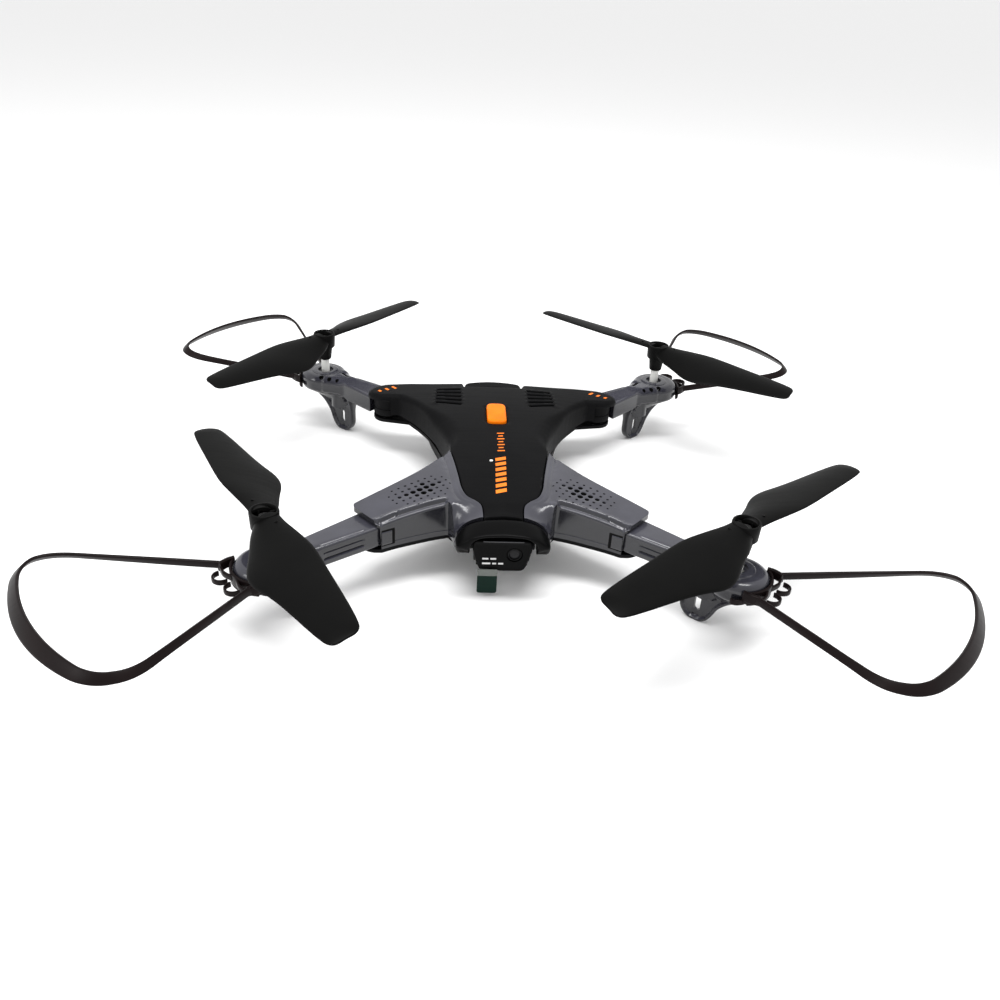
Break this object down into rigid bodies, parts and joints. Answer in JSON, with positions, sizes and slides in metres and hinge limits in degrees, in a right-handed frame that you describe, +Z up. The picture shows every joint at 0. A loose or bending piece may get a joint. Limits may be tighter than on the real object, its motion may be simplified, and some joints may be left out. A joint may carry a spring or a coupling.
{
  "type": "folding camera quadcopter",
  "caption": "Toy camera quadcopter with fold-in arms, geared two-blade propellers on tall shafts, clip-on wire-loop propeller guards, a nose camera and a slide-out battery.",
  "frame": {"origin": "on the ground, under the middle of the four propeller axes", "axes": "+Z up, nose and camera towards -Y, the drone's tail towards +Y, X across"},
  "size_m": [0.3204, 0.3052, 0.0482],
  "materials": {
    "black_shell": "satin moulded plastic",
    "gloss_black": "polished moulded plastic",
    "grey_shell": "semi-gloss moulded plastic",
    "prop_black": "satin flexible plastic",
    "guard_brown": "semi-gloss flexible plastic",
    "orange": "glossy",
    "white_plastic": "natural nylon",
    "film_green": "thin glossy film",
    "board_green": "coated circuit board",
    "lens_glass": "dark polished glass",
    "steel": "plain",
    "brass": "plain"
  },
  "bodies": {
    "body": {"top_shell": "black_shell", "bottom_shell": "black_shell", "wing_shell_right": "grey_shell", "wing_shell_left": "grey_shell", "nose_hood": "gloss_black", "camera_pivot_pin": "steel", "flight_controller_board": "board_green", "status_light": "white_plastic", "power_switch": "board_green", "case_screw_1": "steel", "case_screw_2": "steel", "case_screw_3": "steel", "case_screw_4": "steel", "front_left_hinge_pin": "steel", "front_right_hinge_pin": "steel", "rear_left_hinge_pin": "steel", "rear_right_hinge_pin": "steel"},
    "camera": {"camera_housing": "gloss_black", "camera_faceplate": "gloss_black", "camera_lens": "lens_glass", "lens_film_tab": "film_green"},
    "power_button": {"power_button": "orange"},
    "battery": {"battery_pack": "black_shell"},
    "battery_latch": {"battery_latch": "gloss_black"},
    "front_left_arm": {"front_left_arm": "grey_shell", "front_left_leg": "grey_shell", "front_left_motor": "steel", "front_left_prop_guard": "guard_brown"},
    "front_left_rotor": {"front_left_drive_gear": "white_plastic", "front_left_prop_shaft": "white_plastic", "front_left_propeller": "prop_black", "front_left_prop_screw": "steel"},
    "front_left_motor_pinion": {"front_left_pinion": "brass"},
    "front_right_arm": {"front_right_arm": "grey_shell", "front_right_leg": "grey_shell", "front_right_motor": "steel", "front_right_prop_guard": "guard_brown"},
    "front_right_rotor": {"front_right_drive_gear": "white_plastic", "front_right_prop_shaft": "white_plastic", "front_right_propeller": "prop_black", "front_right_prop_screw": "steel"},
    "front_right_motor_pinion": {"front_right_pinion": "brass"},
    "rear_left_arm": {"rear_left_arm": "grey_shell", "rear_left_leg": "grey_shell", "rear_left_motor": "steel", "rear_left_prop_guard": "guard_brown"},
    "rear_left_rotor": {"rear_left_drive_gear": "white_plastic", "rear_left_prop_shaft": "white_plastic", "rear_left_propeller": "prop_black", "rear_left_prop_screw": "steel"},
    "rear_left_motor_pinion": {"rear_left_pinion": "brass"},
    "rear_right_arm": {"rear_right_arm": "grey_shell", "rear_right_leg": "grey_shell", "rear_right_motor": "steel", "rear_right_prop_guard": "guard_brown"},
    "rear_right_rotor": {"rear_right_drive_gear": "white_plastic", "rear_right_prop_shaft": "white_plastic", "rear_right_propeller": "prop_black", "rear_right_prop_screw": "steel"},
    "rear_right_motor_pinion": {"rear_right_pinion": "brass"}
  },
  "joints": [
    {"name": "front_left_arm_fold", "type": "hinge", "parent": "body", "child": "front_left_arm", "pos_m": [-0.046, -0.053, 0.0233], "axis": [0, 0, 1], "range_deg": [-90, 0]},
    {"name": "front_left_prop_spin", "type": "hinge", "parent": "front_left_arm", "child": "front_left_rotor", "pos_m": [-0.0819, -0.0834, 0.04], "axis": [0, 0, 1], "continuous": true},
    {"name": "front_left_pinion_spin", "type": "hinge", "parent": "front_left_arm", "child": "front_left_motor_pinion", "pos_m": [-0.07457, -0.0772, 0.0254], "axis": [0, 0, 1], "continuous": true},
    {"name": "front_right_arm_fold", "type": "hinge", "parent": "body", "child": "front_right_arm", "pos_m": [0.046, -0.053, 0.0233], "axis": [0, 0, 1], "range_deg": [0, 90]},
    {"name": "front_right_prop_spin", "type": "hinge", "parent": "front_right_arm", "child": "front_right_rotor", "pos_m": [0.0819, -0.0834, 0.04], "axis": [0, 0, 1], "continuous": true},
    {"name": "front_right_pinion_spin", "type": "hinge", "parent": "front_right_arm", "child": "front_right_motor_pinion", "pos_m": [0.07457, -0.0772, 0.0254], "axis": [0, 0, 1], "continuous": true},
    {"name": "rear_left_arm_fold", "type": "hinge", "parent": "body", "child": "rear_left_arm", "pos_m": [-0.0495, 0.0565, 0.0233], "axis": [0, 0, 1], "range_deg": [0, 90]},
    {"name": "rear_left_prop_spin", "type": "hinge", "parent": "rear_left_arm", "child": "rear_left_rotor", "pos_m": [-0.0819, 0.0834, 0.04], "axis": [0, 0, 1], "continuous": true},
    {"name": "rear_left_pinion_spin", "type": "hinge", "parent": "rear_left_arm", "child": "rear_left_motor_pinion", "pos_m": [-0.07451, 0.07727, 0.0254], "axis": [0, 0, 1], "continuous": true},
    {"name": "rear_right_arm_fold", "type": "hinge", "parent": "body", "child": "rear_right_arm", "pos_m": [0.0495, 0.0565, 0.0233], "axis": [0, 0, 1], "range_deg": [-90, 0]},
    {"name": "rear_right_prop_spin", "type": "hinge", "parent": "rear_right_arm", "child": "rear_right_rotor", "pos_m": [0.0819, 0.0834, 0.04], "axis": [0, 0, 1], "continuous": true},
    {"name": "rear_right_pinion_spin", "type": "hinge", "parent": "rear_right_arm", "child": "rear_right_motor_pinion", "pos_m": [0.07451, 0.07727, 0.0254], "axis": [0, 0, 1], "continuous": true},
    {"name": "camera_tilt", "type": "hinge", "parent": "body", "child": "camera", "pos_m": [0, -0.056, 0.019], "axis": [1, 0, 0], "range_deg": [0, 45]},
    {"name": "power_button_press", "type": "slide", "parent": "body", "child": "power_button", "axis": [0, 0, 1], "range_m": [-0.001, 0], "stiffness_N_per_m": 800, "springref_m": 0.0005},
    {"name": "battery_slide", "type": "slide", "parent": "body", "child": "battery", "axis": [0, 1, 0], "range_m": [0, 0.06]},
    {"name": "battery_latch_lift", "type": "slide", "parent": "battery", "child": "battery_latch", "axis": [0, 0, 1], "range_m": [0, 0.002], "stiffness_N_per_m": 200, "springref_m": -0.001}
  ],
  "couplings": [
    {"joint": "front_left_pinion_spin", "follows": "front_left_prop_spin", "ratio": -3},
    {"joint": "front_right_pinion_spin", "follows": "front_right_prop_spin", "ratio": -3},
    {"joint": "rear_left_pinion_spin", "follows": "rear_left_prop_spin", "ratio": -3},
    {"joint": "rear_right_pinion_spin", "follows": "rear_right_prop_spin", "ratio": -3}
  ]
}
